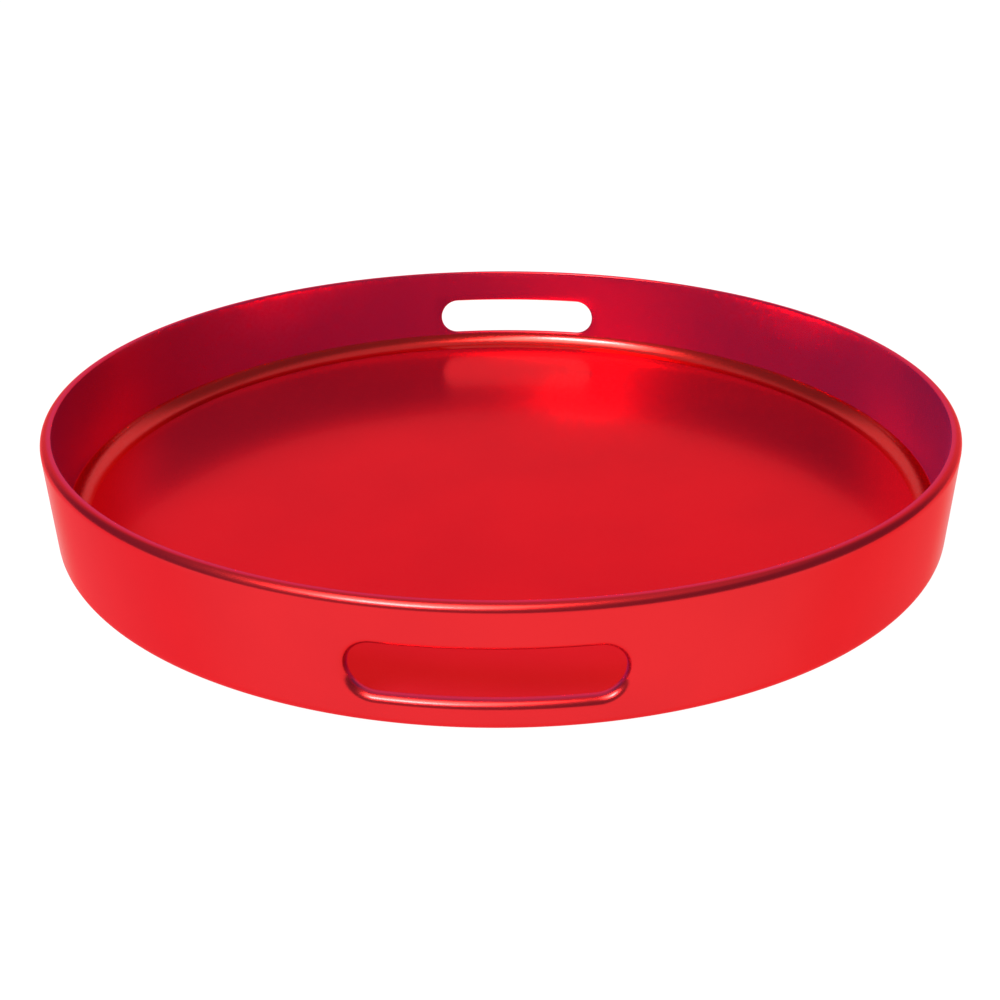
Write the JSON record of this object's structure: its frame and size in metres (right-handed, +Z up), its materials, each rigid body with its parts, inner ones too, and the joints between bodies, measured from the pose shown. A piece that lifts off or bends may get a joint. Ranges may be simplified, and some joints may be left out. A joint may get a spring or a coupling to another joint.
{
  "type": "serving tray",
  "caption": "Round shallow serving tray with an upright wall, rounded rim, two pill-shaped handle slots and a hollow-faced inner corner.",
  "frame": {"origin": "centre of the plane the foot pads stand on", "axes": "+Z up; the two handle slots are at +Y and -Y; the tray is the same seen from either handle"},
  "size_m": [0.38, 0.38, 0.048],
  "materials": {
    "wall_lacquer": "gloss",
    "panel_lacquer": "gloss",
    "cove_lacquer": "gloss",
    "pad_rubber": "matte"
  },
  "bodies": {
    "root": {"side_wall": "wall_lacquer", "base_panel": "panel_lacquer", "cove_fillet": "cove_lacquer", "foot_pad_1": "pad_rubber", "foot_pad_2": "pad_rubber", "foot_pad_3": "pad_rubber", "foot_pad_4": "pad_rubber"}
  },
  "joints": []
}
